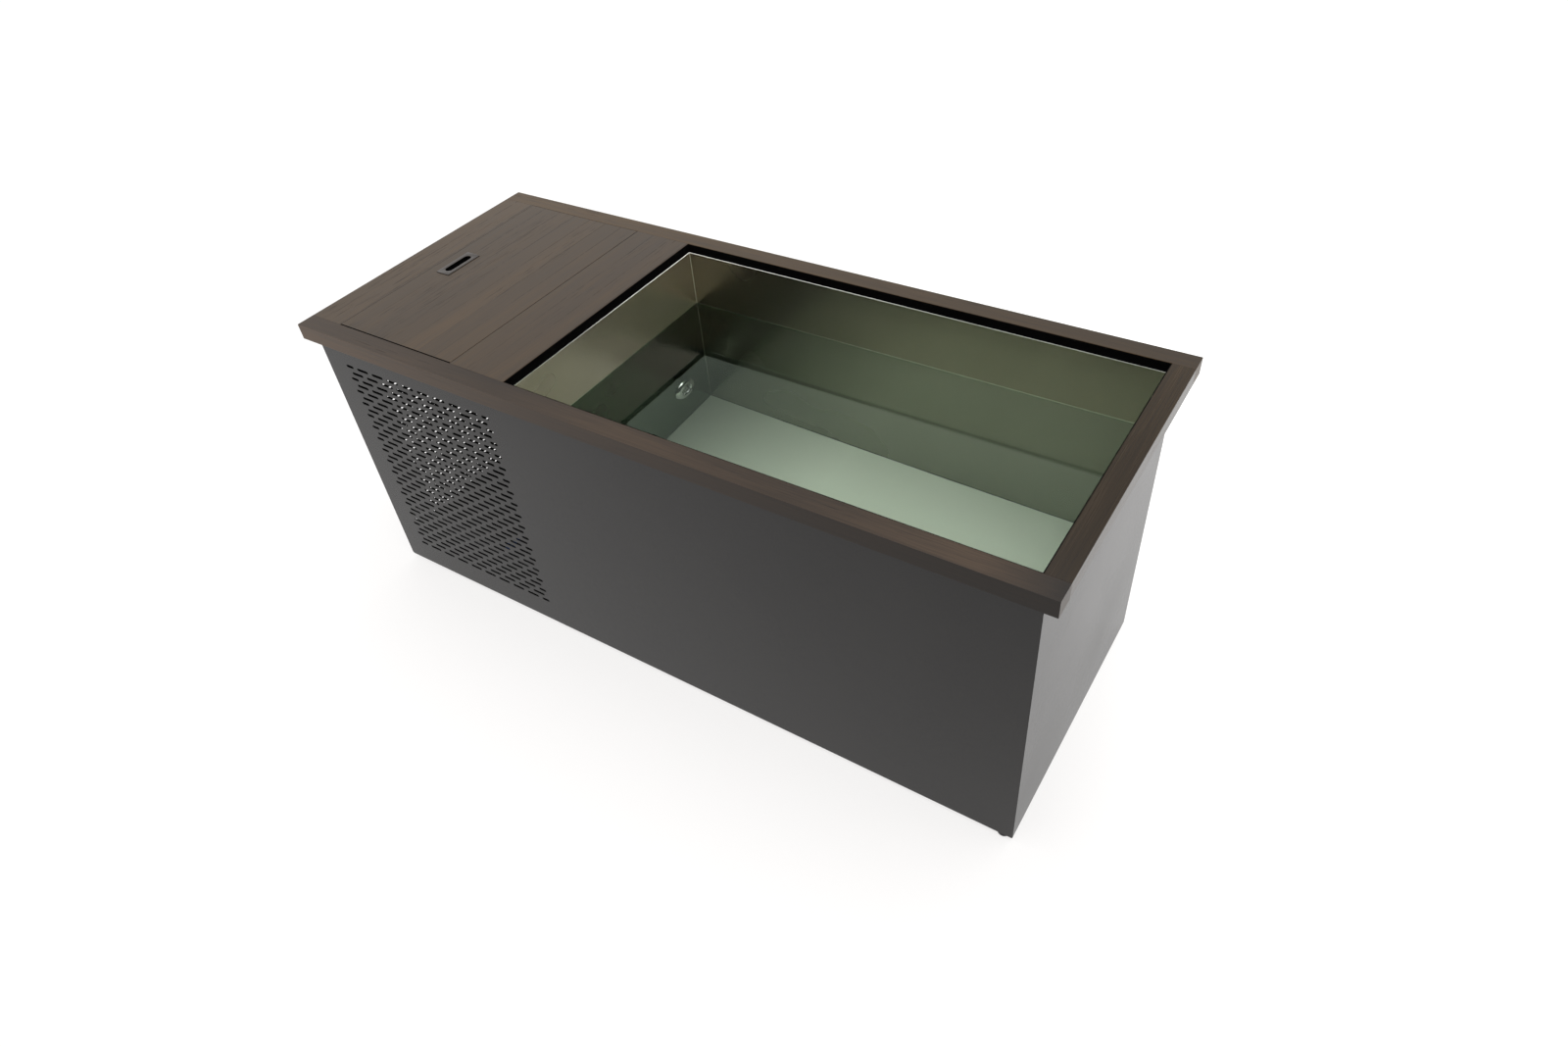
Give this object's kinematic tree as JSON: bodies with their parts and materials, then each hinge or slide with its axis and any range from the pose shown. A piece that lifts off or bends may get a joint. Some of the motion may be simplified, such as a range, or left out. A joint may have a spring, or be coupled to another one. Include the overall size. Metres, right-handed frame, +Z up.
{
  "type": "cold plunge tub",
  "caption": "Rectangular cold plunge tub: slotted charcoal metal cabinet, dark timber deck, open steel tub and a chiller bay under a hinged timber hatch.",
  "frame": {"origin": "on the floor, under the centre of the timber deck", "axes": "+X along the length towards the tub end, +Y to the back, +Z up; the slotted front faces -Y"},
  "size_m": [1.7, 0.687, 0.7062],
  "materials": {
    "powder_coat": "fine satin powder coat, charcoal",
    "galvanised_steel": "galvanised, matt",
    "foot_rubber": "matt black",
    "tub_stainless": "satin sheet with soft uneven reflections",
    "gasket_rubber": "black extrusion",
    "foam": "rigid foam",
    "deck_timber": "dark stained, oiled, fine grain",
    "pull_black": "dark anodised",
    "hinge_steel": "plain",
    "fitting_chrome": "polished",
    "machine_paint": "black machine paint",
    "black_plastic": "moulded",
    "grey_plastic": "moulded, dark grey",
    "filter_media": "pleated media",
    "coil_aluminium": "fine fins, black coated",
    "pipe_plastic": "dark grey pipe",
    "valve_plastic": "glass-filled, black",
    "lever_blue": "dipped lever",
    "pipe_copper": "copper tube"
  },
  "bodies": {
    "cabinet": {"front_panel": "powder_coat", "back_panel": "powder_coat", "left_panel": "powder_coat", "right_panel": "powder_coat", "base_pan": "powder_coat", "bulkhead": "powder_coat", "base_rail_front": "galvanised_steel", "base_rail_back": "galvanised_steel", "base_crossmember": "galvanised_steel", "tub_floor": "tub_stainless", "tub_left_wall": "tub_stainless", "tub_right_wall": "tub_stainless", "tub_front_wall": "tub_stainless", "tub_back_wall": "tub_stainless", "rim_gasket": "gasket_rubber", "insulation_jacket": "foam", "deck_front_rail": "deck_timber", "deck_back_rail": "deck_timber", "deck_left_board": "deck_timber", "deck_mid_board": "deck_timber", "deck_right_board": "deck_timber", "hatch_hinge_fixed": "hinge_steel", "suction_fitting": "fitting_chrome", "return_nozzle": "fitting_chrome", "drain_fitting": "fitting_chrome", "pump_volute": "machine_paint", "pump_motor": "machine_paint", "compressor": "machine_paint", "heat_exchanger": "black_plastic", "fan_shroud": "black_plastic", "power_inlet": "black_plastic", "filter_housing": "grey_plastic", "control_box": "grey_plastic", "filter_cartridge": "filter_media", "condenser_coil": "coil_aluminium", "suction_pipe": "pipe_plastic", "filter_feed_pipe": "pipe_plastic", "exchanger_feed_pipe": "pipe_plastic", "return_pipe": "pipe_plastic", "drain_valve_body": "valve_plastic", "drain_outlet": "valve_plastic", "discharge_pipe": "pipe_copper", "liquid_pipe": "pipe_copper", "suction_gas_pipe": "pipe_copper"},
    "hatch": {"hatch_lid": "deck_timber", "hatch_batten_front": "deck_timber", "hatch_batten_back": "deck_timber", "hatch_pull": "pull_black", "hatch_hinge_moving": "hinge_steel"},
    "fan": {"fan_blades": "black_plastic"},
    "impeller": {"pump_impeller": "black_plastic"},
    "filter_lid": {"filter_cap": "black_plastic"},
    "drain_lever": {"drain_valve_lever": "lever_blue"},
    "power_button": {"button_power": "black_plastic"},
    "down_button": {"button_down": "black_plastic"},
    "up_button": {"button_up": "black_plastic"},
    "front_left_foot": {"foot_front_left": "foot_rubber"},
    "front_right_foot": {"foot_front_right": "foot_rubber"},
    "back_left_foot": {"foot_back_left": "foot_rubber"},
    "back_right_foot": {"foot_back_right": "foot_rubber"}
  },
  "joints": [
    {"name": "hatch_hinge", "type": "hinge", "parent": "cabinet", "child": "hatch", "pos_m": [-0.4309, 0, 0.705], "axis": [0, 1, 0], "range_deg": [0, 100]},
    {"name": "fan_spin", "type": "hinge", "parent": "cabinet", "child": "fan", "pos_m": [-0.749, 0.165, 0.22], "axis": [1, 0, 0], "continuous": true},
    {"name": "impeller_spin", "type": "hinge", "parent": "cabinet", "child": "impeller", "pos_m": [-0.4, -0.088, 0.115], "axis": [0, 1, 0], "continuous": true},
    {"name": "filter_cap_twist", "type": "hinge", "parent": "cabinet", "child": "filter_lid", "pos_m": [-0.53, 0.02, 0.45], "axis": [0, 0, 1], "range_deg": [0, 90]},
    {"name": "drain_lever_turn", "type": "hinge", "parent": "cabinet", "child": "drain_lever", "pos_m": [-0.5, -0.262, 0.135], "axis": [0, 0, 1], "range_deg": [0, 90]},
    {"name": "power_button_press", "type": "slide", "parent": "cabinet", "child": "power_button", "axis": [1, 0, 0], "range_m": [0, 0.002], "stiffness_N_per_m": 600},
    {"name": "down_button_press", "type": "slide", "parent": "cabinet", "child": "down_button", "axis": [1, 0, 0], "range_m": [0, 0.002], "stiffness_N_per_m": 600},
    {"name": "up_button_press", "type": "slide", "parent": "cabinet", "child": "up_button", "axis": [1, 0, 0], "range_m": [0, 0.002], "stiffness_N_per_m": 600},
    {"name": "front_left_foot_screw", "type": "hinge", "parent": "cabinet", "child": "front_left_foot", "pos_m": [-0.795, -0.284, 0], "axis": [0, 0, 1], "continuous": true},
    {"name": "front_right_foot_screw", "type": "hinge", "parent": "cabinet", "child": "front_right_foot", "pos_m": [0.798, -0.305, 0], "axis": [0, 0, 1], "continuous": true},
    {"name": "back_left_foot_screw", "type": "hinge", "parent": "cabinet", "child": "back_left_foot", "pos_m": [-0.795, 0.269, 0], "axis": [0, 0, 1], "continuous": true},
    {"name": "back_right_foot_screw", "type": "hinge", "parent": "cabinet", "child": "back_right_foot", "pos_m": [0.798, 0.29, 0], "axis": [0, 0, 1], "continuous": true}
  ]
}
